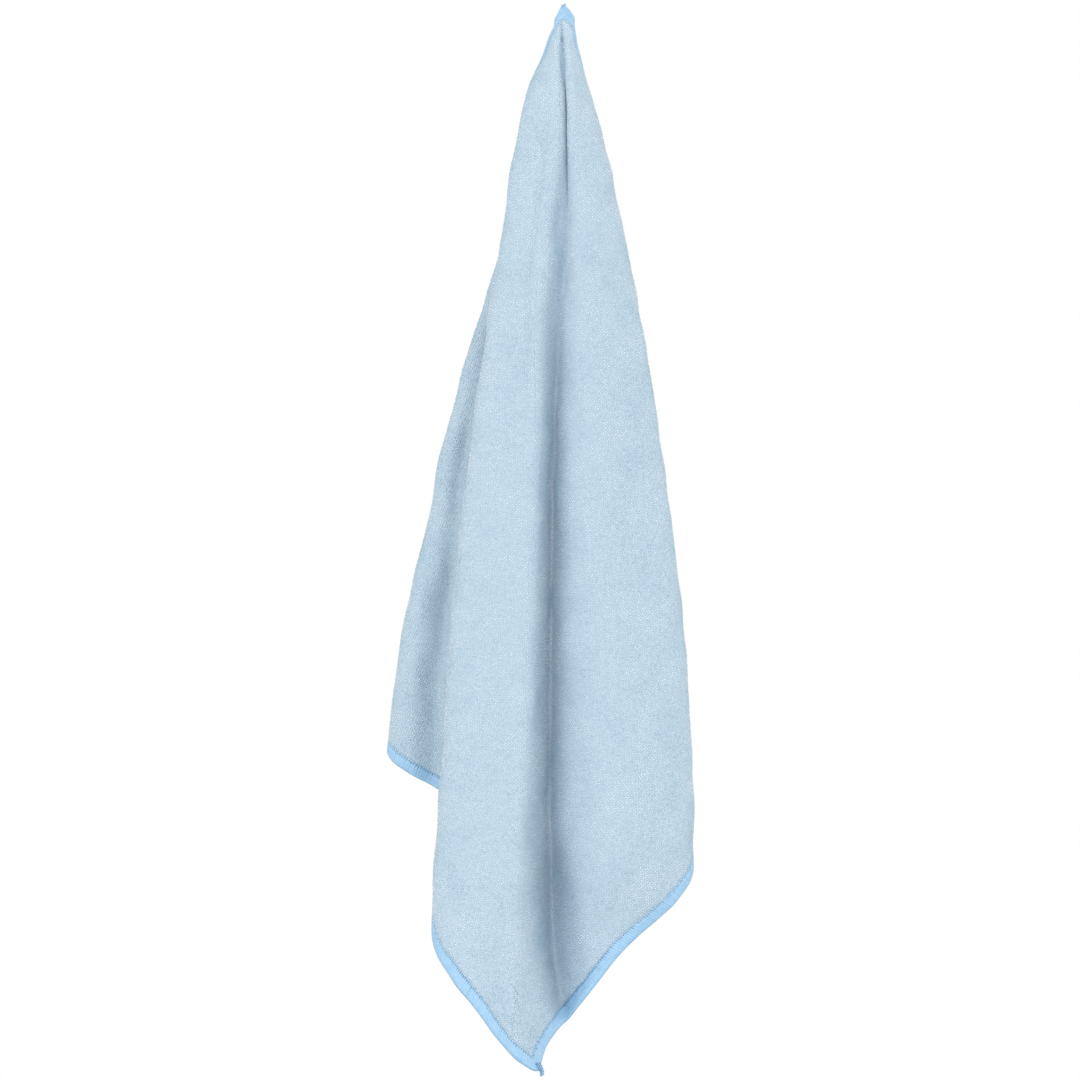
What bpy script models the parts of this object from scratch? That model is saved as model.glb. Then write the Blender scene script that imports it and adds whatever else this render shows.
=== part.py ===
"""A square microfibre cloth, 400 mm a side, hanging from one corner in soft folds.

The flat cloth is described from the corner that it hangs from: DISTANCE is the way down
the cloth, and ANGLE runs from 0 degrees, the edge on the right, to 90 degrees, the edge on
the left. At each distance the cloth is a level curve whose length is the cloth's own.
X is to the right, Y goes back and Z is up. The hanging corner is at the origin.
Lengths are in millimetres until the mesh is made.
"""

import bpy
import numpy as np

METRES = 0.001
SIDE = 400.0
THICKNESS = 2.0
TIP_THICKNESS = 1.2  # the cloth is pinched together where it hangs
TIP_LENGTH = 55.0  # below the tip, the way to the full thickness
SIDE_BOW = 3.0  # the overlocked hem draws each low side in by this much at its middle
TOP_ROUND = 3.0  # radius of the corner that it hangs from
CORNER_ROUND = 2.0  # radius of the other three corners
TAIL = 4.0  # the hem's thread end below the lowest corner
TAIL_HALF_ANGLE = 0.2  # degrees
DIAGONAL = 45.0

# The folds from the right edge to the left one, each a line down the cloth.
# EDGE is the angle that the line leaves at START mm, ANGLE where it is 400 mm down, and
# DRIFT how far it moves from there to the low corner. ROUND is the length of its bend.
# AFTER says whether the cloth goes back (1) or forward (-1) on its way to the next fold.
# TURN is the sense of the bend, seen from below, and COLUMNS the mesh columns after it.
FOLDS = (
    # name          EDGE START ANGLE DRIFT ROUND AFTER TURN COLUMNS
    ("right_edge",    0,  0.0,  0.0,  0.0,  0.0,  -1,   0,  8),
    ("far",           0, 60.0, 14.6,  0.0, 34.0,  -1,   1,  8),
    ("right",         0, 24.0, 29.8,  2.2, 34.0,  -1,  -1,  5),
    ("right_face",    0,  0.0,  0.0,  0.0, 40.0,  -1,  -1,  6),
    ("shoulder",      0,  0.3, 37.8, -0.2, 34.0,   1,  -1,  7),
    ("valley",       90,  0.0, 43.8, -2.0, 14.0,  -1,   1,  6),
    ("ridge",        90,  0.3, 48.2, -2.4,  8.0,   1,  -1,  6),
    ("left_face",     0,  0.0,  0.0,  0.0, 40.0,   1,  -1,  6),
    ("left",         90, 24.0, 55.5, -1.4, 34.0,   1,  -1,  7),
    ("inner",        90, 45.0, 62.2,  0.0, 30.0,   1,   1,  6),
    ("inner_face",    0,  0.0,  0.0,  0.0, 40.0,   1,  -1,  6),
    ("back_left",    90, 75.0, 75.6,  0.0, 34.0,   1,  -1,  7),
    ("left_edge",    90,  0.0, 90.0,  0.0,  0.0,   0,   0,  0),
)  # fmt: skip
NAMES = [fold[0] for fold in FOLDS]

# Three broad faces bulge between two folds: the fold at the back, the one at the crest,
# and the parts of the cloth and of the width that lie between the back fold and the face.
FACES = (
    # name         back fold    crest      cloth  width
    ("right_face", "right",     "shoulder", 0.42, 0.22),
    ("left_face",  "left",      "ridge",    0.44, 0.20),
    ("inner_face", "back_left", "inner",    0.49, 0.40),
)  # fmt: skip

# Where the folds hang at each distance: LEAN is the ridge's Y, and the rest are X.
PLACES = (
    # mm   LEAN  r_edge   far  right shoulder valley ridge   left  inner  back_l  l_edge
    (0,     0.0,   0.0,   0.0,   0.0,   0.0,   0.0,   0.0,   0.0,   0.0,    0.0,   0.0),
    (12,   -3.6,   4.8,   4.8,   4.4,   1.0,  -0.8,  -2.6,  -5.6,  -5.4,   -5.4,  -5.4),
    (28,   -7.5,   6.6,   6.4,   6.8,   1.4,  -1.2,  -3.8, -10.2,  -9.2,   -8.6,  -8.6),
    (50,  -11.0,   8.4,   7.6,  11.4,   2.8,   0.3,  -2.2, -18.9, -16.2,  -14.8, -14.8),
    (80,  -14.5,  12.0,  10.0,  19.2,   3.6,   1.2,  -2.6, -24.9, -18.2,  -20.6, -19.4),
    (110, -18.0,  17.0,  13.0,  26.1,   6.0,   0.0,  -8.8, -30.0, -18.6,  -26.3, -20.6),
    (140, -21.5,  25.0,  12.0,  32.4,   7.5,  -1.6, -11.5, -34.2, -18.8,  -33.6, -21.6),
    (180, -26.0,  34.0,   9.0,  39.4,   9.5,  -3.8, -12.6, -40.2, -19.0,  -45.0, -22.4),
    (230, -32.0,  41.5,   4.0,  46.4,  12.5,  -6.6, -14.0, -47.2, -20.0,  -56.2, -22.4),
    (290, -38.5,  47.5,  -1.0,  54.8,  15.0,  -7.4, -16.0, -54.7, -21.0,  -66.6, -22.0),
    (350, -45.0,  52.5,  -5.0,  61.3,  18.5,  -8.2, -19.0, -60.0, -22.0,  -79.0, -21.0),
    (410, -52.0,  56.5,  -9.0,  65.0,  22.0,  -9.6, -21.6, -64.0, -22.0,  -90.6, -20.0),
    (460, -58.5,  59.5, -13.0,  65.8,  26.0,  -9.2, -23.0, -66.5, -22.0,  -97.2, -20.0),
    (500, -63.0,  61.5, -16.0,  65.4,  31.5,  -7.0, -24.8, -68.4, -22.0,  -99.2, -20.0),
    (530, -66.0,  63.5, -18.0,  64.5,  36.0,   1.0, -25.6, -70.0, -22.0, -101.2, -20.0),
    (575, -67.0,  65.5, -20.0,  63.5,  41.0,  14.0, -18.0, -71.7, -22.0, -103.0, -20.0),
)  # fmt: skip
AT = np.array([row[0] for row in PLACES], float)
FACE_NAMES = [face[0] for face in FACES]
PLACED = [name for name in NAMES if name not in FACE_NAMES]
ANCHOR = NAMES.index("ridge")

TIP_RADIUS = 3.5  # near the tip the cloth is a plain roll of this radius
TIP_TURN = 100.0  # degrees that each side of the roll turns back, at most
TIP_PLAIN = 9.0  # down to this distance, and then it turns into the folds
TIP_FOLDED = 30.0  # by this one
START_POWER = 0.6  # how soon a fold settles after its start
FADE = 14.0  # length of cloth past a new fold at which its bend is full
SMALL_BEND = 3.2  # least length of a bend
FULL_ROUND_AT = 330.0  # distance from which a bend has its full length
DRIFT_END = 566.0
STEEPEST = 0.995  # of a run's length, the most that may lie across the view
ROUNDS = 30
LEAST_GAP = np.radians(0.9)  # between mesh columns, where folds haven't begun
ROWS = 31
ROW_CROWDING = 1.5  # rows are closer near the tip
COLUMN_CROWDING = 0.1  # columns are closer near the folds


def smooth(t):
    t = np.clip(t, 0.0, 1.0)
    return t * t * (3.0 - 2.0 * t)


def curve_through(values, at):
    """A smooth curve through one column of PLACES, read at the distances in at."""
    slopes = np.gradient(values, AT)
    i = np.clip(np.searchsorted(AT, at, side="right") - 1, 0, len(AT) - 2)
    width = AT[i + 1] - AT[i]
    t = (at - AT[i]) / width
    first = (1 + 2 * t) * (1 - t) ** 2 * values[i] + t * (1 - t) ** 2 * width * slopes[i]
    second = t * t * (3 - 2 * t) * values[i + 1] - t * t * (1 - t) * width * slopes[i + 1]
    return first + second


def fold_lines(distance):
    """The angle and X of every fold at each distance, as two tables."""
    columns = np.array([row[2:] for row in PLACES], float)
    angles = np.zeros((len(distance), len(FOLDS)))
    across = np.zeros((len(distance), len(FOLDS)))
    low = smooth((distance - SIDE) / (DRIFT_END - SIDE))
    for k, (name, edge, start, angle, drift, _, _, _, _) in enumerate(FOLDS):
        if name in FACE_NAMES:
            continue
        begun = np.maximum(1 - (start / distance) ** START_POWER, 0.0)
        settled = begun / (1 - (start / SIDE) ** START_POWER)
        angles[:, k] = np.radians(edge + (angle - edge) * settled + drift * low)
        across[:, k] = curve_through(columns[:, PLACED.index(name)], distance)
    for name, back, crest, cloth, width in FACES:
        k, b, c = NAMES.index(name), NAMES.index(back), NAMES.index(crest)
        angles[:, k] = angles[:, b] + cloth * (angles[:, c] - angles[:, b])
        gap = across[:, b] - across[:, c]
        room = 0.96 * np.abs(angles[:, c] - angles[:, k]) * distance
        across[:, k] = across[:, c] + np.sign(gap) * np.minimum(np.abs(gap) * (1 - width), room)
    return angles, across


def along(values, steps):
    """The running sum of values over steps, from zero in each row."""
    sums = np.cumsum(0.5 * (values[:, 1:] + values[:, :-1]) * steps, axis=1)
    return np.concatenate([np.zeros((len(values), 1)), sums], axis=1)


def level_curves(distance, angle):
    """X and Y of the cloth at each distance and angle.

    The heading turns at each fold. The runs between the folds take the headings that
    bring every fold to its X, with a run's own length of cloth in it.
    """
    angles, across = fold_lines(distance)
    place = angles * distance[:, None]
    arc = angle[None, :] * distance[:, None]
    steps = np.diff(arc, axis=1)
    run = np.diff(place, axis=1)
    after = np.array([fold[6] for fold in FOLDS[:-1]], float)
    turn_sense = np.array([fold[7] for fold in FOLDS[1:-1]], float)
    grown = np.minimum(1.0, distance / FULL_ROUND_AT)[:, None]
    bend = np.minimum(SMALL_BEND, distance / 2)[:, None] + grown * [fold[5] for fold in FOLDS]
    begun = np.ones((len(distance), len(FOLDS) - 2))
    for k in range(1, len(FOLDS) - 1):
        if FOLDS[k][2] > 1:
            outer = run[:, k - 1] if k < ANCHOR else run[:, k]
            begun[:, k - 1] = smooth(outer / FADE)
    target = across.copy()
    for _ in range(ROUNDS):
        share = np.clip(np.diff(target, axis=1) / np.maximum(run, 1e-6), -STEEPEST, STEEPEST)
        heading = np.arctan2(after * np.sqrt(1 - share**2), share)
        turn = turn_sense * np.diff(heading, axis=1)
        turn = turn_sense * ((turn + 1.0) % (2 * np.pi) - 1.0) * begun
        headings = np.repeat(heading[:, ANCHOR : ANCHOR + 1], len(angle), axis=1)
        for k in range(1, len(FOLDS) - 1):
            part = smooth((arc - place[:, k : k + 1]) / bend[:, k : k + 1] + 0.5)
            headings += turn[:, k - 1 : k] * (part if k > ANCHOR else part - 1.0)
        x = along(np.cos(headings), steps)
        y = along(np.sin(headings), steps)
        at_folds = np.array([np.interp(p, a, row) for p, a, row in zip(place, arc, x)])
        moved = across[:, ANCHOR] - at_folds[:, ANCHOR]
        x += moved[:, None]
        at_folds += moved[:, None]
        target += 0.7 * np.clip(across - at_folds, -15.0, 15.0)
    half_turn = np.minimum(distance * DIAGONAL / TIP_RADIUS, TIP_TURN)[:, None]
    headings = np.radians(half_turn * (1 - angle / np.radians(DIAGONAL)) - 180.0)
    roll_x = along(np.cos(headings), steps)
    roll_y = along(np.sin(headings), steps)
    middle = (across[:, NAMES.index("right")] + across[:, NAMES.index("left")]) / 2
    roll_x += middle[:, None] - (roll_x[:, :1] + roll_x[:, -1:]) / 2
    folded = smooth((distance - TIP_PLAIN) / (TIP_FOLDED - TIP_PLAIN))[:, None]
    x = roll_x + folded * (x - roll_x)
    y = roll_y + folded * (y - roll_y)
    ridge_y = np.array([np.interp(p[ANCHOR], a, row) for p, a, row in zip(place, arc, y)])
    lean = curve_through(np.array([row[1] for row in PLACES], float), distance)
    return x, y + (lean - ridge_y)[:, None]


def hang(distance, angle):
    """The hanging cloth's points at each distance and angle, with the cloth's own length
    down every line from the tip."""
    x, y = level_curves(distance, angle)
    steps = np.diff(distance)[:, None]
    sideways = (np.diff(x, axis=0) / steps) ** 2 + (np.diff(y, axis=0) / steps) ** 2
    fall = np.cumsum(np.sqrt(np.maximum(1.0 - sideways, 0.05)) * steps, axis=0)
    z = -distance[0] - np.concatenate([np.zeros((1, len(angle))), fall])
    return np.stack([x, y, z], axis=-1)


def outline(angle):
    """The distances at which the cloth starts and ends, along each line from the tip."""
    c, s = np.cos(angle), np.sin(angle)
    start = TOP_ROUND * (c + s - np.sqrt(2 * c * s))
    along_side = np.minimum(c, s) / np.maximum(c, s)
    end = (SIDE - SIDE_BOW * np.sin(np.pi * along_side)) / np.maximum(c, s)
    far, near = SIDE - CORNER_ROUND, CORNER_ROUND
    for u, v in ((far, far), (far, near), (near, far)):
        middle = u * c + v * s
        inside = middle**2 - u * u - v * v + CORNER_ROUND**2
        bow = middle + np.sqrt(np.maximum(inside, 0.0))
        past = (c * bow > u) == (u == far)
        past &= (s * bow > v) == (v == far)
        end = np.where((inside > 0) & past, np.minimum(end, bow), end)
    return start, end


def columns(distance):
    """The angle of every mesh column at each distance. Columns follow the folds, and three
    of them hold the diagonal and the thread end below it."""
    knots = list(fold_lines(distance)[0].T)
    counts = [fold[8] for fold in FOLDS]
    for degrees in (-TAIL_HALF_ANGLE, 0.0, TAIL_HALF_ANGLE):
        knots.insert(ANCHOR, np.full(len(distance), np.radians(DIAGONAL - degrees)))
        counts.insert(ANCHOR, 1)
    counts[ANCHOR + 2] = 5
    for k in range(len(knots)):
        if k < ANCHOR:
            knots[k] = np.maximum(knots[k], LEAST_GAP * sum(counts[:k]))
        if k > ANCHOR + 2:
            knots[k] = np.minimum(knots[k], np.pi / 2 - LEAST_GAP * sum(counts[k:]))
    found = []
    for first, second, count in zip(knots, knots[1:], counts):
        for n in range(count):
            t = n / count
            t -= COLUMN_CROWDING * np.sin(2 * np.pi * t) * (count > 2)
            found.append(first + t * (second - first))
    return np.array(found + [knots[-1]]).T


def grid():
    """The cloth's own coordinates, distance and angle, at every mesh point."""
    at = np.linspace(1.0, DRIFT_END + TAIL, 300)
    table = columns(at)
    ends = table[-1]
    for _ in range(20):
        hem = outline(ends)[1]
        ends = np.array([np.interp(h, at, table[:, j]) for j, h in enumerate(hem)])
    start, hem = outline(ends)
    hem = np.where(np.abs(ends - np.pi / 4) < 1e-6, hem + TAIL, hem)
    share = np.linspace(0.0, 1.0, ROWS + 1)[:, None] ** ROW_CROWDING
    distance = start + share * (hem - start)
    angle = np.array([np.interp(distance[:, j], at, table[:, j]) for j in range(len(ends))]).T
    return distance, angle


def read_at(field, distance, angle, at_distance, at_angle):
    """field, known on a fine table, read between its points."""
    i = np.clip(np.searchsorted(distance, at_distance) - 1, 0, len(distance) - 2)
    j = np.clip(np.searchsorted(angle, at_angle) - 1, 0, len(angle) - 2)
    a = ((at_distance - distance[i]) / (distance[i + 1] - distance[i]))[..., None]
    b = ((at_angle - angle[j]) / (angle[j + 1] - angle[j]))[..., None]
    near = field[i, j] * (1 - b) + field[i, j + 1] * b
    far = field[i + 1, j] * (1 - b) + field[i + 1, j + 1] * b
    return near * (1 - a) + far * a


def cloth_mesh():
    """The cloth as one closed sheet: a front and a back, joined all round by the rim."""
    fine_distance = np.arange(0.5, DRIFT_END + TAIL + 1, 1.0)
    fine_angle = np.radians(np.arange(0.0, 90.01, 0.25))
    points = hang(fine_distance, fine_angle)
    normals = np.cross(
        np.gradient(points, fine_distance, axis=0), np.gradient(points, fine_angle, axis=1)
    )
    normals /= np.linalg.norm(normals, axis=-1, keepdims=True)
    distance, angle = grid()
    middle = read_at(points, fine_distance, fine_angle, distance, angle)
    normal = read_at(normals, fine_distance, fine_angle, distance, angle)
    normal /= np.linalg.norm(normal, axis=-1, keepdims=True)
    thickness = TIP_THICKNESS + (THICKNESS - TIP_THICKNESS) * smooth(distance / TIP_LENGTH)
    offset = normal * thickness[..., None] / 2
    rows, across = distance.shape
    vertices = np.concatenate([(middle + offset).reshape(-1, 3), (middle - offset).reshape(-1, 3)])
    back = rows * across
    index = np.arange(back).reshape(rows, across)
    a, b = index[:-1, :-1].ravel(), index[:-1, 1:].ravel()
    c, d = index[1:, 1:].ravel(), index[1:, :-1].ravel()
    faces = [np.stack([a, d, c, b], 1), np.stack([a, b, c, d], 1) + back]
    rim = np.concatenate([index[0], index[1:, -1], index[-1, -2::-1], index[-2:0:-1, 0]])
    quads = np.stack([rim, np.roll(rim, -1), np.roll(rim, -1) + back, rim + back], 1)
    corners = vertices[quads]
    sides = corners[:, 1:] - corners[:, :1]
    hollow = np.linalg.det(sides) > 0
    quads[hollow] = np.roll(quads[hollow], 1, axis=1)
    rim_faces = np.concatenate([quads[:, [0, 1, 2]], quads[:, [0, 2, 3]]])
    return vertices * METRES, np.concatenate(faces).tolist() + rim_faces.tolist()


def terry_blue():
    """Pale blue microfibre terry, with a light blue thread hem."""
    material = bpy.data.materials.new("terry_blue")
    material.use_nodes = True
    shader = material.node_tree.nodes["Principled BSDF"]
    shader.inputs["Base Color"].default_value = (0.55, 0.68, 0.78, 1.0)
    shader.inputs["Roughness"].default_value = 0.95
    shader.inputs["Metallic"].default_value = 0.0
    return material


def cloth():
    vertices, faces = cloth_mesh()
    mesh = bpy.data.meshes.new("cloth")
    mesh.from_pydata(vertices.tolist(), [], faces)
    mesh.update()
    mesh.shade_smooth()
    mesh.set_sharp_from_angle(angle=np.radians(60))
    mesh.materials.append(terry_blue())
    body = bpy.data.objects.new("cloth", mesh)
    bpy.context.scene.collection.objects.link(body)


for old in list(bpy.data.objects):
    bpy.data.objects.remove(old, do_unlink=True)
cloth()
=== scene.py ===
import bpy
import numpy as np
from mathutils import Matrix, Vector


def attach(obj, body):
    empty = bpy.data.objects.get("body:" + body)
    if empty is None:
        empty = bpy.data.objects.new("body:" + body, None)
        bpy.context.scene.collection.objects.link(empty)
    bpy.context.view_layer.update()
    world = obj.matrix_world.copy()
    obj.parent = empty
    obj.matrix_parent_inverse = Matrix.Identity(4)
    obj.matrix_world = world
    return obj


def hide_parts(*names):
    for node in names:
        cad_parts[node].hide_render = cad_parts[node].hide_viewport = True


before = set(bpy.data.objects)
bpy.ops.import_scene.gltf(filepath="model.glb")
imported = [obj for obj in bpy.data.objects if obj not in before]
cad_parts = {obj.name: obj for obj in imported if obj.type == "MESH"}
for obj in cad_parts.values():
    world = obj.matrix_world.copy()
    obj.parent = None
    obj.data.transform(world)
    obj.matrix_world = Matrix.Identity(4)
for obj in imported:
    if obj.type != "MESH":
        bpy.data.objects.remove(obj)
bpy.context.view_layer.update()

# ---- The cloth -----------------------------------------------------------------------
# One square of terry microfibre knit, 400 mm a side and about 2 mm thick with its pile,
# looped on both faces. It hangs from one corner, and falls in a centre pleat, two side
# folds and two side corners at the back. Lengths are in millimetres until a mesh is made.
SIDE = 400.0
HANG_ROUND = 1.0  # radius of the corner that it hangs from
CORNER_ROUND = 5.5  # and of the other three
KNIT = 1.1  # thickness of the knit without its loops
TIP_KNIT = 0.7  # the same at the tip, where it hangs
TIP_LENGTH = 55.0  # below the tip, the way to the full thickness
TIP_KEEP = 0.4  # of their height, what loops and stitches keep in the tip's close layers
PRESSED_LENGTH = 85.0  # below the tip, the way to their full height
HEM_WIDTH = 6.5
HEM_KNIT = 0.8  # thickness of the knit under the stitches, which press it flat
HEM_EASE = 2.0  # the width over which it gets so

# The folds from the right edge to the left one, each a line down the cloth. The cloth's
# lines from the tip have an angle, from 0 degrees at the right edge to 90 at the left.
# EDGE is the angle that a fold leaves at START mm, ANGLE where it is 400 mm down, and
# DRIFT how far it moves from there to the low corner. ROUND is the length of its bend.
# AFTER says whether the cloth goes back (1) or forward (-1) on its way to the next fold,
# and TURN the sense of the bend, seen from below. FACES says where the three faces lie.
FOLDS = (
    # name          EDGE START ANGLE DRIFT ROUND AFTER TURN
    ("right_edge",    0,  0.0,  0.0,  0.0,  0.0,  -1,   0),
    ("far",           0, 60.0, 14.6,  0.0, 34.0,  -1,   1),
    ("right",         0, 24.0, 29.8,  2.2, 34.0,  -1,  -1),
    ("right_face",    0,  0.0,  0.0,  0.0, 40.0,  -1,  -1),
    ("shoulder",      0,  0.3, 37.8, -0.2, 34.0,   1,  -1),
    ("valley",       90,  0.0, 43.8, -2.0,  3.0,  -1,   1),
    ("ridge",        90,  0.3, 47.9, -2.1,  9.0,   1,  -1),
    ("left_face",     0,  0.0,  0.0,  0.0, 40.0,   1,  -1),
    ("left",         90, 24.0, 55.5, -1.4, 34.0,   1,  -1),
    ("inner",        90, 45.0, 62.2,  0.0, 30.0,   1,   1),
    ("inner_face",    0,  0.0,  0.0,  0.0, 40.0,   1,  -1),
    ("back_left",    90, 75.0, 75.6,  0.0, 34.0,   1,  -1),
    ("left_edge",    90,  0.0, 90.0,  0.0,  0.0,   0,   0),
)  # fmt: skip
NAMES, EDGE, START, ANGLE, DRIFT, ROUND, AFTER, TURN = zip(*FOLDS)

# Three broad faces bulge between two folds: the fold at the back, the one at the crest,
# and the parts of the cloth and of the width that lie between the back fold and the face.
FACES = (
    # name         back fold    crest      cloth  width
    ("right_face", "right",     "shoulder", 0.42, 0.22),
    ("left_face",  "left",      "ridge",    0.44, 0.20),
    ("inner_face", "back_left", "inner",    0.49, 0.57),
)  # fmt: skip

# Where the folds hang at each distance from the tip: LEAN is the ridge's Y, the rest are X.
PLACES = (
    # mm   LEAN  r_edge   far  right shoulder valley ridge   left  inner  back_l  l_edge
    (0,     0.0,  -1.0,  -1.0,  -1.0,  -1.0,  -1.0,  -1.0,  -1.0,  -1.0,   -1.0,  -1.0),
    (12,   -3.6,   4.8,   4.8,   4.4,   1.0,  -0.8,  -2.6,  -5.6,  -5.4,   -5.4,  -5.4),
    (28,   -7.5,   6.6,   6.4,   6.8,   1.4,  -1.2,  -3.8, -10.2,  -9.2,   -8.6,  -8.6),
    (50,  -11.0,   8.4,   7.6,  13.0,   2.8,   0.6,  -2.0, -18.7, -16.2,  -14.8, -14.8),
    (80,  -14.5,  12.0,  10.0,  20.9,   3.8,   1.7,  -2.4, -25.5, -18.2,  -20.6, -19.4),
    (110, -18.0,  17.0,  13.0,  27.1,   6.0,   0.6,  -6.4, -30.0, -18.6,  -26.3, -20.6),
    (140, -21.5,  25.0,  12.0,  33.0,   7.5,   0.0,  -9.2, -34.2, -18.8,  -33.6, -21.6),
    (180, -26.0,  34.0,   9.0,  40.0,   9.5,  -3.2, -12.8, -40.2, -19.0,  -45.6, -22.4),
    (230, -32.0,  41.5,   4.0,  47.8,  12.5,  -6.4, -14.6, -47.2, -20.0,  -58.8, -22.4),
    (290, -38.5,  47.5,  -1.0,  56.2,  15.0,  -7.4, -16.8, -54.7, -21.0,  -67.9, -22.0),
    (350, -45.0,  52.5,  -5.0,  62.1,  18.5,  -8.2, -19.0, -60.0, -22.0,  -81.8, -21.0),
    (410, -52.0,  56.5,  -9.0,  65.9,  22.0,  -8.8, -21.6, -63.4, -22.0,  -92.7, -20.0),
    (460, -58.5,  59.5, -13.0,  65.8,  26.0,  -8.4, -24.4, -67.5, -22.0,  -98.6, -20.0),
    (500, -63.0,  61.5, -16.0,  65.4,  31.5,  -7.2, -25.0, -68.4, -22.0,  -100.6, -20.0),
    (530, -66.0,  63.5, -18.0,  64.5,  36.0,  -0.6, -25.6, -70.0, -22.0, -101.2, -20.0),
    (575, -67.0,  65.5, -20.0,  63.5,  41.0,  13.0, -18.0, -71.7, -22.0, -103.0, -20.0),
)  # fmt: skip
AT = np.array([row[0] for row in PLACES], float)
FACE_NAMES = [face[0] for face in FACES]
PLACED = [name for name in NAMES if name not in FACE_NAMES]
ANCHOR = NAMES.index("ridge")

TIP_RADIUS = 5.0  # near the tip the cloth is a plain roll of this radius
TIP_TURN = (80.0, 118.0)  # degrees that each side of the roll turns back, least and most
TIP_PLAIN = 7.0  # down to this distance, and then it turns into the folds
TIP_FOLDED = 26.0  # by this one
TIP_START = 1.0  # a fold that starts above this is there from the tip on
START_POWER = 0.6  # how soon a fold settles after its start
FADE = 14.0  # length of cloth past a new fold at which its bend is full
SMALL_BEND = 3.2  # least length of a bend
FULL_ROUND_AT = 330.0  # distance from which a bend has its full length
DRIFT_END = 566.0  # distance of the lowest corner, about the cloth's diagonal
DIAGONAL = 45.0  # the angle halfway between the two edges
FACE_ROOM = 0.96  # of a face's cloth, the most that may lie across the view
STEEPEST = 0.995  # the same for the run between any two folds
LEAST_RUN = 1e-6  # for a run with no cloth in it
LEAST_FALL = 0.05  # square of the least drop of a line, for each mm of its length
OVERTURN = 1.0  # radians that a bend may turn against its sense
ROUNDS = 30  # in which the runs take their headings
CORRECTION = 0.7  # of what is left, taken up in each round
CORRECTION_MOST = 15.0  # in one round


def smooth(t):
    """From 0 to 1 as t goes from 0 to 1, gently at both ends."""
    t = np.clip(t, 0.0, 1.0)
    return t * t * (3.0 - 2.0 * t)


def curve_through(values, at, knots=AT):
    """A smooth curve through the values at the knots, read at the places in at."""
    slopes = np.gradient(values, knots)
    i = np.clip(np.searchsorted(knots, at, side="right") - 1, 0, len(knots) - 2)
    width = knots[i + 1] - knots[i]
    t = (at - knots[i]) / width
    first = (1 + 2 * t) * (1 - t) ** 2 * values[i] + t * (1 - t) ** 2 * width * slopes[i]
    second = t * t * (3 - 2 * t) * values[i + 1] - t * t * (1 - t) * width * slopes[i + 1]
    return first + second


def fold_lines(distance):
    """The angle and X of every fold at each distance, as two tables."""
    columns = np.array([row[2:] for row in PLACES], float)
    angles = np.zeros((len(distance), len(FOLDS)))
    across = np.zeros((len(distance), len(FOLDS)))
    low = smooth((distance - SIDE) / (DRIFT_END - SIDE))
    for k, name in enumerate(NAMES):
        if name in FACE_NAMES:
            continue
        begun = np.maximum(1 - (START[k] / distance) ** START_POWER, 0.0)
        reached = begun / (1 - (START[k] / SIDE) ** START_POWER)
        angles[:, k] = np.radians(EDGE[k] + (ANGLE[k] - EDGE[k]) * reached + DRIFT[k] * low)
        across[:, k] = curve_through(columns[:, PLACED.index(name)], distance)
    for name, back, crest, cloth_part, width in FACES:
        k, b, c = NAMES.index(name), NAMES.index(back), NAMES.index(crest)
        angles[:, k] = angles[:, b] + cloth_part * (angles[:, c] - angles[:, b])
        gap = across[:, b] - across[:, c]
        room = FACE_ROOM * np.abs(angles[:, c] - angles[:, k]) * distance
        across[:, k] = across[:, c] + np.sign(gap) * np.minimum(np.abs(gap) * (1 - width), room)
    return angles, across


def along(values, steps):
    """The running sum of values over steps, from zero in each row."""
    sums = np.cumsum(0.5 * (values[:, 1:] + values[:, :-1]) * steps, axis=1)
    return np.concatenate([np.zeros((len(values), 1)), sums], axis=1)


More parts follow.
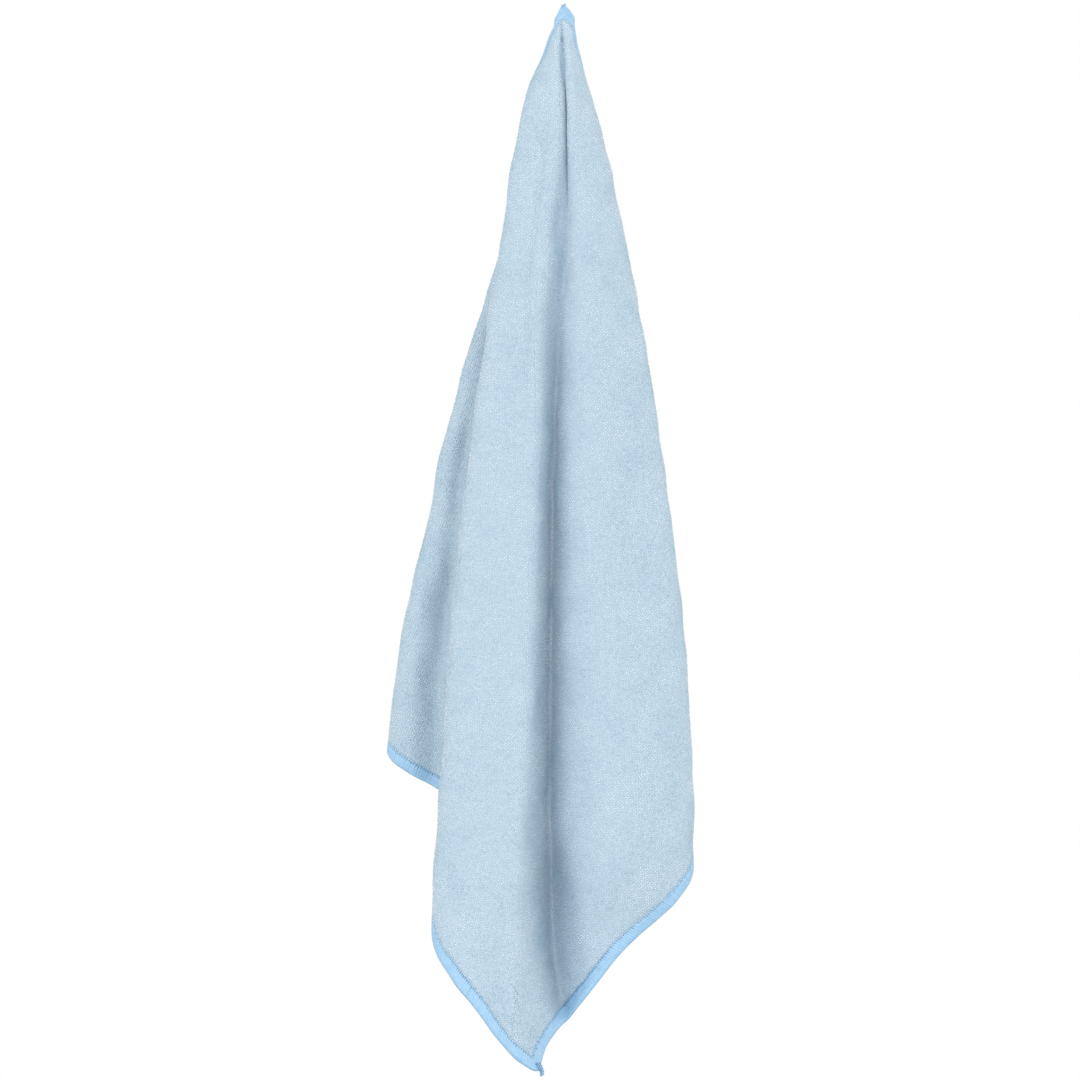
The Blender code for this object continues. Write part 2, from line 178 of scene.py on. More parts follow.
def level_curves(distance, angle):
    """X and Y of the cloth at each distance and angle.

    The heading turns at each fold. The runs between the folds take the headings that
    bring every fold to its X, with a run's own length of cloth in it.
    """
    angles, across = fold_lines(distance)
    place = angles * distance[:, None]
    arc = angle[None, :] * distance[:, None]
    steps = np.diff(arc, axis=1)
    run = np.diff(place, axis=1)
    after = np.array(AFTER[:-1], float)
    turn_sense = np.array(TURN[1:-1], float)
    grown = np.minimum(1.0, distance / FULL_ROUND_AT)[:, None]
    bend = np.minimum(SMALL_BEND, distance / 2)[:, None] + grown * ROUND
    begun = np.ones((len(distance), len(FOLDS) - 2))
    for k in range(1, len(FOLDS) - 1):
        if START[k] > TIP_START:
            outer = run[:, k - 1] if k < ANCHOR else run[:, k]
            begun[:, k - 1] = smooth(outer / FADE)
    target = across.copy()
    for _ in range(ROUNDS):
        share = np.diff(target, axis=1) / np.maximum(run, LEAST_RUN)
        share = np.clip(share, -STEEPEST, STEEPEST)
        heading = np.arctan2(after * np.sqrt(1 - share**2), share)
        turn = turn_sense * np.diff(heading, axis=1)
        turn = turn_sense * ((turn + OVERTURN) % (2 * np.pi) - OVERTURN) * begun
        headings = np.repeat(heading[:, ANCHOR : ANCHOR + 1], len(angle), axis=1)
        for k in range(1, len(FOLDS) - 1):
            part = smooth((arc - place[:, k : k + 1]) / bend[:, k : k + 1] + 0.5)
            headings += turn[:, k - 1 : k] * (part if k > ANCHOR else part - 1.0)
        x = along(np.cos(headings), steps)
        y = along(np.sin(headings), steps)
        at_folds = np.array([np.interp(p, a, row) for p, a, row in zip(place, arc, x)])
        moved = across[:, ANCHOR] - at_folds[:, ANCHOR]
        x += moved[:, None]
        at_folds += moved[:, None]
        target += CORRECTION * np.clip(across - at_folds, -CORRECTION_MOST, CORRECTION_MOST)
    half_turn = np.clip(distance * DIAGONAL / TIP_RADIUS, *TIP_TURN)[:, None]
    headings = np.radians(half_turn * (1 - angle / np.radians(DIAGONAL)) - 180.0)
    roll_x = along(np.cos(headings), steps)
    roll_y = along(np.sin(headings), steps)
    middle = (across[:, NAMES.index("right")] + across[:, NAMES.index("left")]) / 2
    roll_x += middle[:, None] - (roll_x[:, :1] + roll_x[:, -1:]) / 2
    folded = smooth((distance - TIP_PLAIN) / (TIP_FOLDED - TIP_PLAIN))[:, None]
    x = roll_x + folded * (x - roll_x)
    y = roll_y + folded * (y - roll_y)
    ridge_y = np.array([np.interp(p[ANCHOR], a, row) for p, a, row in zip(place, arc, y)])
    lean = curve_through(np.array([row[1] for row in PLACES], float), distance)
    return x, y + (lean - ridge_y)[:, None]


def hang(distance, angle):
    """The hanging cloth's points at each distance and angle, with the cloth's own length
    down every line from the tip."""
    x, y = level_curves(distance, angle)
    steps = np.diff(distance)[:, None]
    sideways = (np.diff(x, axis=0) / steps) ** 2 + (np.diff(y, axis=0) / steps) ** 2
    fall = np.cumsum(np.sqrt(np.maximum(1.0 - sideways, LEAST_FALL)) * steps, axis=0)
    z = -distance[0] - np.concatenate([np.zeros((1, len(angle))), fall])
    return np.stack([x, y, z], axis=-1)


TABLE_DISTANCE = np.arange(0.5, DRIFT_END + 2, 1.0)  # every mm, to just past the corner
TABLE_ANGLE = np.radians(np.arange(0.0, 90.01, 0.1))  # every tenth of a degree
EASED = 11  # places in the table of distances, so mm down the cloth
EASED_FROM = 14.0  # where the easing begins, from the tip, and it is full twice as far down

# Troughs, creases and pinched ridges: the cloth's own angles on either side of one, whether
# it is sharp, half its width, how far it comes forward or, below zero, sinks back, and the
# line that it follows down the cloth, as X and Z.
FRONT, BACK_LEFT = (26.0, 58.0), (63.0, 77.0)
SHARP, SOFT = True, False
CREASES = (
    # the pleat's slit starts right under the tip, and closes up further down
    (*FRONT, SOFT, 1.4, -1.8, ((-1.3, -9.0), (-1.5, -14.0), (-1.4, -21.0))),
    (*FRONT, SOFT, 1.9, -1.6, ((-1.5, -15.0), (-1.2, -25.0), (-0.3, -38.0))),
    (*FRONT, SOFT, 3.2, 2.0, ((0.6, -50.0), (0.7, -64.0), (0.5, -78.0), (0.0, -94.0),
                              (-0.8, -112.0), (-1.8, -130.0))),
    # the valley is creased sharply along its bottom, and sinks in before its low end
    (*FRONT, SHARP, 11.0, -5.2, ((-1.8, -130.0), (-5.2, -210.0), (-7.0, -290.0),
                                 (-7.6, -380.0), (-7.4, -440.0), (-6.2, -480.0),
                                 (-4.4, -505.0), (-5.4, -525.0))),
    (*FRONT, SOFT, 18.0, -11.0, ((-7.8, -430.0), (-6.4, -480.0), (-4.2, -505.0),
                                 (-5.4, -525.0), (-9.5, -548.0), (-12.0, -562.0))),
    (*FRONT, SHARP, 4.5, -1.0, ((-4.2, -180.0), (-7.0, -290.0), (-7.6, -380.0),
                                (-7.4, -440.0), (-6.5, -481.0), (-6.3, -493.0),
                                (-4.2, -508.5), (-1.9, -521.5), (0.8, -534.0))),
    # a faint trough runs beside the ridge
    (*FRONT, SOFT, 3.2, -0.9, ((-4.8, -44.0), (-8.5, -78.0), (-12.7, -105.0),
                               (-17.5, -148.0), (-19.5, -220.0))),
    # pinched lines above the lowest corner
    (*FRONT, SOFT, 2.6, 1.1, ((-27.8, -506.0), (-25.2, -521.4), (-27.8, -532.8),
                              (-26.7, -545.0))),
    (*FRONT, SOFT, 2.2, -0.7, ((-24.1, -509.6), (-22.6, -524.0), (-24.6, -539.0))),
    (*FRONT, SOFT, 2.6, -0.5, ((-35.5, -494.0), (-32.0, -510.0), (-30.5, -529.0))),
    # a short level crease and a dimple on the left face
    (*FRONT, SHARP, 1.9, -0.6, ((-33.5, -416.4), (-20.0, -414.0))),
    (*FRONT, SOFT, 1.8, -0.7, ((-33.4, -470.6), (-31.4, -472.6))),
    # the fold at the back left sinks in beside the left face
    (*BACK_LEFT, SOFT, 8.0, -2.2, ((-46.5, -150.0), (-54.0, -234.5), (-59.5, -292.8),
                                   (-64.0, -345.0))),
    (*BACK_LEFT, SOFT, 14.0, -5.5, ((-61.0, -290.0), (-65.2, -340.0), (-68.4, -380.0),
                                    (-68.5, -430.0))),
)  # fmt: skip
BLUNT = 0.05  # of its half width, the round at the bottom of a sharp crease
LAYER_EASE = 2.0  # degrees inside its angles over which a crease reaches its full depth
CREASE_START, CREASE_END = 4, 6  # it deepens over a fourth of its line, and ends over a sixth
# Low waves all over, as sums of sines: height, and length across and down.
RUMPLES = (
    # height across  down  shift
    (0.22,  31.0,  87.0, 0.10),
    (0.20, -23.0,  41.0, 0.45),
    (0.15,  17.0, -29.0, 0.80),
    (0.12,  12.0,  55.0, 0.25),
)  # fmt: skip


def facing(points):
    """The way that the outer face looks at each point, which is forwards in front."""
    across_way = np.gradient(points, TABLE_ANGLE, axis=1)
    down_way = np.gradient(points, TABLE_DISTANCE, axis=0)
    normals = np.cross(across_way, down_way)
    return normals / np.linalg.norm(normals, axis=-1, keepdims=True)


def settled(points):
    """The points with small kinks eased down the cloth, as where a fold begins."""
    weights = np.hanning(EASED + 2)[1:-1]
    reach = EASED // 2
    above = 2 * points[:1] - points[reach:0:-1]
    below = 2 * points[-1:] - points[-2 : -reach - 2 : -1]
    padded = np.concatenate([above, points, below])
    eased = sum(w * padded[k : k + len(points)] for k, w in enumerate(weights)) / weights.sum()
    share = smooth((TABLE_DISTANCE - EASED_FROM) / EASED_FROM)[:, None, None]
    return points + share * (eased - points)


def creased(points):
    """The points with the creases pressed back or brought forward, and with the rumples."""
    turned = np.degrees(TABLE_ANGLE)[None, :]
    rise = np.zeros(points.shape[:2])
    for low_angle, high_angle, sharp, half_width, height, line in CREASES:
        on_layer = smooth((turned - low_angle) / LAYER_EASE)
        on_layer = on_layer * smooth((high_angle - turned) / LAYER_EASE)
        line = np.array(line, float)
        lengths = np.hypot(*np.diff(line, axis=0).T)
        whole, gone = lengths.sum(), 0.0
        nearest = np.full(rise.shape, np.inf)
        part = np.zeros(rise.shape)
        for start, end, length in zip(line, line[1:], lengths):
            way = (end - start) / length
            off = points[..., [0, 2]] - start
            t = np.clip(off @ way, 0, length)
            away = np.hypot(off[..., 0] - t * way[0], off[..., 1] - t * way[1])
            closer = away < nearest
            nearest = np.where(closer, away, nearest)
            part = np.where(closer, (gone + t) / whole, part)
            gone += length
        blunted = np.hypot(nearest, BLUNT * half_width) if sharp else nearest
        near = np.clip(1 - blunted / half_width, 0, 1)
        shape = near**2 if sharp else smooth(near)
        shape = shape * smooth(part * CREASE_START) * smooth((1 - part) * CREASE_END)
        rise += height * shape * on_layer
    rumpled = np.zeros(rise.shape)
    for amount, across, down, shift in RUMPLES:
        waves = points[..., 0] / across + points[..., 2] / down + shift
        rumpled += amount * np.sin(2 * np.pi * waves)
    forwards = np.array([0.0, -1.0, 0.0])
    return points + facing(points) * rumpled[..., None] + forwards * rise[..., None]


MIDDLE = creased(settled(hang(TABLE_DISTANCE, TABLE_ANGLE)))
FACING = facing(MIDDLE)

# The overlocking draws the two low sides in unevenly, by these widths at lengths along the
# side from its side corner. Where a width is below zero, the side is let out: the left one
# past its side corner, and a little above the lowest corner.
DRAWN_IN = (
    # along  right  left
    (0,      0.0,   0.0),
    (60,     2.0,  -0.8),
    (100,    2.7,  -3.4),
    (125,    3.0,  -4.0),
    (150,    3.1,  -3.0),
    (195,    3.8,   0.6),
    (225,    6.2,   2.4),
    (262,    3.0,   4.8),
    (285,    2.6,   5.6),
    (308,    3.8,   3.6),
    (335,    2.2,   3.5),
    (358,    1.6,   2.6),
    (375,    3.3,  -0.6),
    (388,    3.4,  -1.8),
    (395,    1.8,  -0.6),
    (400,    0.0,   0.0),
)  # fmt: skip
DRAWN_POWER = 3  # how soon the draw is gone inwards from the side


def rounded(u, v):
    """Places on the flat square, with its corners rounded and its low sides drawn in."""
    at, right, left = np.array(DRAWN_IN, float).T
    drawn_u = u - curve_through(right, np.clip(v, 0, SIDE), at) * (u / SIDE) ** DRAWN_POWER
    drawn_v = v - curve_through(left, np.clip(u, 0, SIDE), at) * (v / SIDE) ** DRAWN_POWER
    radius = np.where(u + v < SIDE / 2, HANG_ROUND, CORNER_ROUND)
    a = np.clip((np.abs(u - SIDE / 2) - SIDE / 2) / radius + 1, 0, 1)
    b = np.clip((np.abs(v - SIDE / 2) - SIDE / 2) / radius + 1, 0, 1)
    new_u = drawn_u - np.sign(u - SIDE / 2) * radius * a * (1 - np.sqrt(1 - b * b / 2))
    new_v = drawn_v - np.sign(v - SIDE / 2) * radius * b * (1 - np.sqrt(1 - a * a / 2))
    return new_u, new_v


def cloth_at(u, v, height):
    """Points of the hanging cloth: u runs along the right edge and v along the left one,
    from the tip, and height is above the middle of the knit, outwards."""
    u, v = rounded(u, v)
    distance = np.hypot(u, v)
    angle = np.arctan2(v, u)
    i = np.clip(np.searchsorted(TABLE_DISTANCE, distance) - 1, 0, len(TABLE_DISTANCE) - 2)
    j = np.clip(np.searchsorted(TABLE_ANGLE, angle) - 1, 0, len(TABLE_ANGLE) - 2)
    down = ((distance - TABLE_DISTANCE[i]) / np.diff(TABLE_DISTANCE)[i])[..., None]
    over = ((angle - TABLE_ANGLE[j]) / np.diff(TABLE_ANGLE)[j])[..., None]

    def read(table):
        near = table[i, j] * (1 - over) + table[i, j + 1] * over
        far = table[i + 1, j] * (1 - over) + table[i + 1, j + 1] * over
        return near * (1 - down) + far * down

    return read(MIDDLE) + read(FACING) * np.asarray(height)[..., None]


def to_edge(u, v):
    """Distance to the nearest side of the square."""
    return np.minimum(np.minimum(u, SIDE - u), np.minimum(v, SIDE - v))


def pressed(u, v):
    """How much of their height loops and stitches keep: less in the tip's close layers."""
    return TIP_KEEP + (1 - TIP_KEEP) * smooth(np.hypot(u, v) / PRESSED_LENGTH)


def half_knit(u, v):
    """Half the thickness of the knit, which is thin at the tip and under the hem."""
    full = TIP_KNIT + (KNIT - TIP_KNIT) * smooth(np.hypot(u, v) / TIP_LENGTH)
    inside = smooth((to_edge(u, v) - HEM_WIDTH) / HEM_EASE + 0.5)
    return (HEM_KNIT + (full - HEM_KNIT) * inside) * np.minimum(full / KNIT, 1.0) / 2


def add_piece(name, points, faces, flat_places, material):
    """A mesh object from points in mm. faces holds arrays of faces with as many corners
    each, and flat_places the points' u and v, which become the UV map."""
    mesh = bpy.data.meshes.new(name)
    corners = np.concatenate([block.ravel() for block in faces])
    starts = np.concatenate([[0]] + [np.full(len(block), block.shape[1]) for block in faces])
    mesh.vertices.add(len(points))
    mesh.vertices.foreach_set("co", (points / 1000).ravel())
    mesh.loops.add(len(corners))
    mesh.loops.foreach_set("vertex_index", corners)
    mesh.polygons.add(len(starts) - 1)
    mesh.polygons.foreach_set("loop_start", np.cumsum(starts)[:-1])
    mesh.update(calc_edges=True)
    flat = mesh.uv_layers.new(name="flat")
    flat.uv.foreach_set("vector", (flat_places[corners] / SIDE).ravel())
    mesh.shade_smooth()
    mesh.materials.append(material)
    piece = bpy.data.objects.new(name, mesh)
    bpy.context.scene.collection.objects.link(piece)
    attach(piece, "root")
    return piece


class Wire:
    """An output socket in a material. Sums and products of wires add their Math nodes."""

    def __init__(self, tree, socket=None):
        self.tree = tree
        self.socket = socket

    def node(self, kind, settings=None, inputs=None, output=0):
        """Adds a node with its settings, then its sockets' values or links."""
        made = self.tree.nodes.new(kind)
        for setting, value in (settings or {}).items():
            setattr(made, setting, value)
        for socket, value in (inputs or {}).items():
            if isinstance(value, Wire):
                self.tree.links.new(value.socket, made.inputs[socket])
            else:
                made.inputs[socket].default_value = value
        return Wire(self.tree, made.outputs[output])

    def maths(self, operation, first, second):
        return self.node("ShaderNodeMath", {"operation": operation}, {0: first, 1: second})

    def __add__(self, other):
        return self.maths("ADD", self, other)

    def __sub__(self, other):
        return self.maths("SUBTRACT", self, other)

    def __rsub__(self, other):
        return self.maths("SUBTRACT", other, self)

    def __mul__(self, other):
        return self.maths("MULTIPLY", self, other)

    __radd__ = __add__
    __rmul__ = __mul__


def new_material(name, roughness, shine=0.2):
    """A material with its shader, and a wire to hang nodes on."""
    material = bpy.data.materials.new(name)
    material.use_nodes = True
    shader = material.node_tree.nodes["Principled BSDF"]
    shader.inputs["Roughness"].default_value = roughness
    shader.inputs["Specular IOR Level"].default_value = shine
    return material, shader, Wire(material.node_tree)


def colour_mix(wire, factor, first, second):
    """Two colours mixed by a factor."""
    return wire.node(
        "ShaderNodeMix",
        {"data_type": "RGBA"},
        {"Factor": factor, "A": first, "B": second},
        output="Result",
    )


def mottle(wire, flat, size, detail):
    """Soft clouds over the flat cloth, size in mm, whose values lie about zero."""
    clouds = wire.node(
        "ShaderNodeTexNoise",
        {"noise_dimensions": "2D"},
        {"Vector": flat, "Scale": SIDE / size, "Detail": detail, "Roughness": 0.6},
        output="Fac",
    )
    return clouds - 0.5


LOOP_PITCH = 1.28  # between two loops of the terry
# The knit's two colours: the lighter one by the middle of each loop cell, and a darker one that
# is painted shade in the gaps between the loops. Soft random clouds of tone move the mix both
# ways.
TERRY_LIGHT = (0.39, 0.56, 0.67, 1.0)
TERRY_SHADE = (0.27, 0.43, 0.55, 1.0)
KNIT_SHADE_GAIN, KNIT_SHADE_START = 1.1, 0.1  # how the painted shade deepens the colour away from the middle of a loop
MOTTLE_SIZE = 22.0  # of the clouds in the terry's colour
MOTTLE_DETAIL = 5.0
KNIT_MOTTLE = 0.4  # of the way between the two colours


def terry_material():
    """The knit between its loops, deeper in colour than their tips, as painted shade in the
    gaps.
    """
    material, shader, wire = new_material("terry_knit", 0.95)
    flat = wire.node("ShaderNodeUVMap", {"uv_map": "flat"})
    from_loop = wire.node(
        "ShaderNodeTexVoronoi",
        {"feature": "F1", "voronoi_dimensions": "2D"},
        {"Vector": flat, "Scale": SIDE / LOOP_PITCH, "Randomness": 0.35},
        output="Distance",
    )
    clouds = mottle(wire, flat, MOTTLE_SIZE, MOTTLE_DETAIL) * KNIT_MOTTLE
    # painted shade: the knit darkens away from each loop's middle, and random clouds of tone
    # move it both ways
    shade_and_mottle = from_loop * KNIT_SHADE_GAIN - KNIT_SHADE_START + clouds
    tone = colour_mix(wire, shade_and_mottle, TERRY_LIGHT, TERRY_SHADE)
    wire.tree.links.new(tone.socket, shader.inputs["Base Color"])
    bump = wire.node(
        "ShaderNodeBump",
        inputs={"Height": 1 - from_loop, "Strength": 0.6, "Distance": 0.0006},
        output="Normal",
    )
    wire.tree.links.new(bump.socket, shader.inputs["Normal"])
    return material


CELLS = 214  # of the mesh, along a side
FINE_STEP, FULL_STEP = 0.7, 2.0  # the size of a cell at the tip and further down
FINE_LENGTH = 60.0  # the way between the two
VALLEY_SINK = 0.15  # of the knit under its loops, where the valley's bottom squeezes it
VALLEY_HALF_WIDTH = 6.0
VALLEY_TOP = 130.0  # where the sink begins, from the tip, and it is full twice as far down


def grid_lines():
    """Where the mesh's lines cross a side, closer near the tip."""
    t = np.arange(CELLS) * SIDE / CELLS
    steps = FINE_STEP + (FULL_STEP - FINE_STEP) * smooth(t / FINE_LENGTH)
    places = np.concatenate([[0.0], np.cumsum(steps)])
    return places * SIDE / places[-1]


def by_valley(u, v):
    """How near each place is to the valley's bottom, from 0 to 1."""
    distance = np.maximum(np.hypot(u, v), 1.0)
    angles, _ = fold_lines(distance.ravel())
    valley = angles[:, NAMES.index("valley")].reshape(u.shape)
    near = smooth(1 - np.abs(np.arctan2(v, u) - valley) * distance / VALLEY_HALF_WIDTH)
    return near * smooth(distance / VALLEY_TOP - 1)


def knit_sheet():
    """The knit as one closed sheet: its outer and inner face, joined round the edge."""
    lines = grid_lines()
    u, v = np.meshgrid(lines, lines, indexing="ij")
    half = half_knit(u, v)
    outer = cloth_at(u, v, half - VALLEY_SINK * by_valley(u, v))
    inner = cloth_at(u, v, -half)
    n = CELLS + 1
    count = n * n
    index = np.arange(count).reshape(n, n)
    a, b = index[:-1, :-1].ravel(), index[:-1, 1:].ravel()
    c, d = index[1:, 1:].ravel(), index[1:, :-1].ravel()
    faces = [np.stack([a, b, c, d], 1), np.stack([a, d, c, b], 1) + count]
    rim = np.concatenate([index[0], index[1:, -1], index[-1, -2::-1], index[-2:0:-1, 0]])
    after = np.roll(rim, -1)
    faces.append(np.stack([rim, rim + count, after + count, after], 1))
    points = np.concatenate([outer.reshape(-1, 3), inner.reshape(-1, 3)])
    places = np.tile(np.stack([u.ravel(), v.ravel()], 1), (2, 1))
    return add_piece("terry_cloth", points, faces, places, terry_material())


cloth = knit_sheet()
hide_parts("cloth")

# ---- The terry loops -----------------------------------------------------------------
# Short loops of split microfibre stand close together in the rows of the knit, on both of
# its faces. Each is modelled as one small closed tuft that leans its own way, and each
# face's loops are two pieces, the half by the right edge and the half by the left one.
INNER_PITCH = 1.6  # between two loops of the face that hangs inwards
UNDER_HEM = 0.6  # how far the loops reach in under the hem's threads
LOOP_HEIGHT = 0.38  # above the knit, in pitches, as the next three are
LOOP_FOOT = 0.61  # from its middle to its foot's three corners
LOOP_LEAN = 0.3  # at most, of its top to one side
LOOP_SHIFT = 0.14  # at most, of its place in its row
LOOP_SINK = 0.12  # of its foot, into the knit, in mm
LOOP_HEIGHTS = (0.75, 1.15)  # the least and the most, of that height
TIP_HIGHLIGHT_RANGE = (0.5, 1.1)  # of a loop's top, from the painted shade at the feet to the painted highlight, at random for each loop
LOOP_SEED = 7
TUFT_FACES = ((1, 0, 3), (2, 1, 3), (0, 2, 3), (0, 1, 2))  # 3 is its top
# A loop's colour runs from painted shade at its three feet to a painted highlight at its top.
TIP_HIGHLIGHT = (0.80, 0.91, 0.98, 1.0)
FOOT_SHADE = (0.27, 0.45, 0.58, 1.0)
LOOP_MOTTLE = 0.8  # of the way between the two colours


def loop_material():
    """Terry loops: a painted highlight at the tips of the fibres, and painted shade down
    between them.
    """
    material, shader, wire = new_material("terry_loops", 0.95)
    # this attribute carries the painted shade at a loop's feet and the painted highlight at its
    # top
    tip_highlight_tone = wire.node("ShaderNodeAttribute", {"attribute_name": "tip_highlight_tone"}, output="Fac")
    flat = wire.node("ShaderNodeUVMap", {"uv_map": "flat"})
    clouds = mottle(wire, flat, MOTTLE_SIZE, MOTTLE_DETAIL) * LOOP_MOTTLE
    tone = colour_mix(wire, tip_highlight_tone + clouds, FOOT_SHADE, TIP_HIGHLIGHT)
    wire.tree.links.new(tone.socket, shader.inputs["Base Color"])
    return material


def loops(name, face, by_right_edge, rng, material):
    """The tufts of half of one face of the cloth, joined as one piece."""
    pitch = LOOP_PITCH if face == 1 else INNER_PITCH
    places = np.arange(HEM_WIDTH - UNDER_HEM, SIDE - HEM_WIDTH + UNDER_HEM, pitch)
    u, v = [side.ravel() for side in np.meshgrid(places, places, indexing="ij")]
    half = u > v if by_right_edge else u <= v
    count = half.sum()
    u = u[half] + pitch * rng.uniform(-LOOP_SHIFT, LOOP_SHIFT, count)
    v = v[half] + pitch * rng.uniform(-LOOP_SHIFT, LOOP_SHIFT, count)
    turned = rng.uniform(0, 2 * np.pi, count)
    lean_u, lean_v = pitch * rng.uniform(-LOOP_LEAN, LOOP_LEAN, (2, count))
    top = pitch * LOOP_HEIGHT * pressed(u, v) * rng.uniform(*LOOP_HEIGHTS, count)
    corners = []
    # the feet take the painted shade, and the top a painted highlight of its own random
    # strength
    for corner in range(3):
        way = turned + corner * 2 * np.pi / 3
        foot_u = u + pitch * LOOP_FOOT * np.cos(way)
        foot_v = v + pitch * LOOP_FOOT * np.sin(way)
        corners.append((foot_u, foot_v, np.full(count, -LOOP_SINK), np.zeros(count)))
    corners.append((u + lean_u, v + lean_v, top, rng.uniform(*TIP_HIGHLIGHT_RANGE, count)))
    u, v, heights, tip_highlight_tone = [np.stack(values, 1).ravel() for values in zip(*corners)]
    points = cloth_at(u, v, face * (half_knit(u, v) + heights))
    tuft = np.array(TUFT_FACES)[:, ::face]
    first = len(corners) * np.arange(count)
    faces = (tuft[None] + first[:, None, None]).reshape(-1, 3)
    piece = add_piece(name, points, [faces], np.stack([u, v], 1), material)
    # each point's place between the painted shade and the painted highlight, for the material
    rise = piece.data.attributes.new("tip_highlight_tone", "FLOAT", "POINT")
    rise.data.foreach_set("value", tip_highlight_tone)
    return piece


loop_look = loop_material()
rng = np.random.default_rng(LOOP_SEED)
for face, side in ((1, "outer"), (-1, "inner")):
    loops("loops_" + side + "_right", face, True, rng, loop_look)
    loops("loops_" + side + "_left", face, False, rng, loop_look)

# ---- The overlocked hem --------------------------------------------------------------
# Glossy light blue filament thread, overlocked round all four sides: close stitches wrap
# the cut edge from a needle line on the front to the one on the back.
STITCH_PITCH = 1.45
STITCHES = int(SIDE / STITCH_PITCH)  # along one side
STITCH_HALF_WIDTH = 0.98
STITCH_WIDTHS = (0.92, 1.12)  # the least and the most, of that
STITCH_SHIFT = 0.12  # at most, along the edge
STITCH_RISE = 0.34  # of its middle above the knit
STITCH_HALF_THICK = 0.24
STITCH_SLANT = 0.8  # between the needle line and the edge
LAP_RISE = 0.06  # of two of the sides above the other two, which they cross at the corners
EDGE_PROUD = 0.35  # how far the threads stand past the cut edge
NEEDLE_IN = 6.2  # from the edge to the needle line
NEEDLE_WANDER = 0.3
HEM_SEED = 11
SHADE_SIZE = 2.4  # of the clouds in the thread's colour
SHADE_DETAIL = 3.0
SHADE_GAIN, SHADE_START = 1.6, 0.08  # of the way from the light colour to the deep one
HEM_LIGHT = (0.27, 0.50, 0.71, 1.0)
HEM_DEEP = (0.19, 0.41, 0.64, 1.0)

# A stitch's route round the edge, from one needle line to the other.
ROUTE = (
    # in from edge  rise  narrow  face
    (NEEDLE_IN,    0.25,  0.55,   1),
    (4.2,          1.0,   1.0,    1),
    (2.1,          1.0,   1.0,    1),
    (0.5,          0.9,   1.0,    1),
    (-EDGE_PROUD,  0.0,   1.0,    0),
    (0.5,          0.9,   1.0,   -1),
    (2.1,          1.0,   1.0,   -1),
    (4.2,          1.0,   1.0,   -1),
    (NEEDLE_IN,    0.25,  0.55,  -1),
)  # fmt: skip
# A thread's flattened section: along the edge, and outwards.
SECTION = ((-1, -0.2), (-0.62, 0.75), (0.0, 1.0), (0.62, 0.75), (1, -0.2), (0.0, -0.6))


def hem_material():
    """Satin thread: the colour is a little deeper in some stitches than in others."""
    material, shader, wire = new_material("hem_thread", 0.4, shine=0.35)
    flat = wire.node("ShaderNodeUVMap", {"uv_map": "flat"})
    shade = mottle(wire, flat, SHADE_SIZE, SHADE_DETAIL) + SHADE_START
    tone = colour_mix(wire, shade * SHADE_GAIN, HEM_LIGHT, HEM_DEEP)
    wire.tree.links.new(tone.socket, shader.inputs["Base Color"])
    return material


def on_side(side, s, e):
    """The flat place of a point s along one of the four sides and e in from it, going
    round from the tip by the right corner."""
    return ((s, e), (SIDE - e, s), (SIDE - s, SIDE - e), (e, SIDE - s))[side]


def along_edge(rng, shift):
    """Where the stitches of one side lie along it, each a little off its even place."""
    even = (np.arange(STITCHES) + 0.5) * SIDE / STITCHES
    return even + rng.uniform(-shift, shift, STITCHES)


def hem_stitches(rng, material):
    """Every stitch of the four sides as one piece."""
    points, places = [], []
    for side in range(4):
        middle = along_edge(rng, STITCH_SHIFT)
        wide = STITCH_HALF_WIDTH * rng.uniform(*STITCH_WIDTHS, STITCHES)
        wander = rng.uniform(-NEEDLE_WANDER, NEEDLE_WANDER, STITCHES)
        for inside, lift, narrow, face in ROUTE:
            slant = STITCH_SLANT * (inside / NEEDLE_IN - 0.5) * (1 if face >= 0 else -1)
            at = inside + wander * (inside == NEEDLE_IN)
            for across, out in SECTION:
                s = np.clip(middle + slant + across * wide * narrow, 0, SIDE)
                thick = out * STITCH_HALF_THICK * narrow
                u, v = on_side(side, s, at - thick * (face == 0))
                rise = STITCH_RISE * lift + LAP_RISE * (side % 2) + thick
                rise = half_knit(u, v) + rise * pressed(u, v)
                points.append(cloth_at(u, v, face * rise))
                places.append(np.stack([u, v], 1))
    ring, rings = len(SECTION), len(ROUTE)
    block = ring * rings
    order = np.arange(4 * block * STITCHES).reshape(4, block, STITCHES)
    order = order.transpose(0, 2, 1).reshape(4 * STITCHES, rings, ring)
    after = np.roll(order, -1, axis=2)
    tube = [order[:, :-1], after[:, :-1], after[:, 1:], order[:, 1:]]
    tube = np.stack([corner.ravel() for corner in tube], 1)
    caps = np.concatenate([order[:, 0, ::-1], order[:, -1]])
    points, places = np.concatenate(points), np.concatenate(places)
    return add_piece("hem_stitches", points, [tube, caps], places, material)


hem_look = hem_material()
rng = np.random.default_rng(HEM_SEED)
hem_stitches(rng, hem_look)

# ---- The needle line -----------------------------------------------------------------
# The needle thread's own stitches lie along the inner side of the hem on both faces, as a
# row of small beads pulled down into the loops.
BEAD_LENGTH = 0.5  # half of it, as of the width
BEAD_WIDTH = 0.36
BEAD_RISE = 0.46  # of its top above the knit
BEAD_MIDDLE, BEAD_HALF = 0.35, 0.65  # its middle's place and half its thickness, of that
BEAD_SHIFT = 0.2  # at most, along the edge
BEAD_INSIDE = 0.25  # from the stitches' ends to the beads' middle, inwards
NEEDLE_BLUE = (0.36, 0.55, 0.70, 1.0)
# a bead's corners, as places along the edge, inwards from it and out of the cloth
BEAD = ((1, 0, 0), (0, 1, 0), (-1, 0, 0), (0, -1, 0), (0, 0, 1), (0, 0, -1))
BEAD_TOP = ((1, 0, 4), (2, 1, 4), (3, 2, 4), (0, 3, 4))
BEAD_FOOT = ((0, 1, 5), (1, 2, 5), (2, 3, 5), (3, 0, 5))


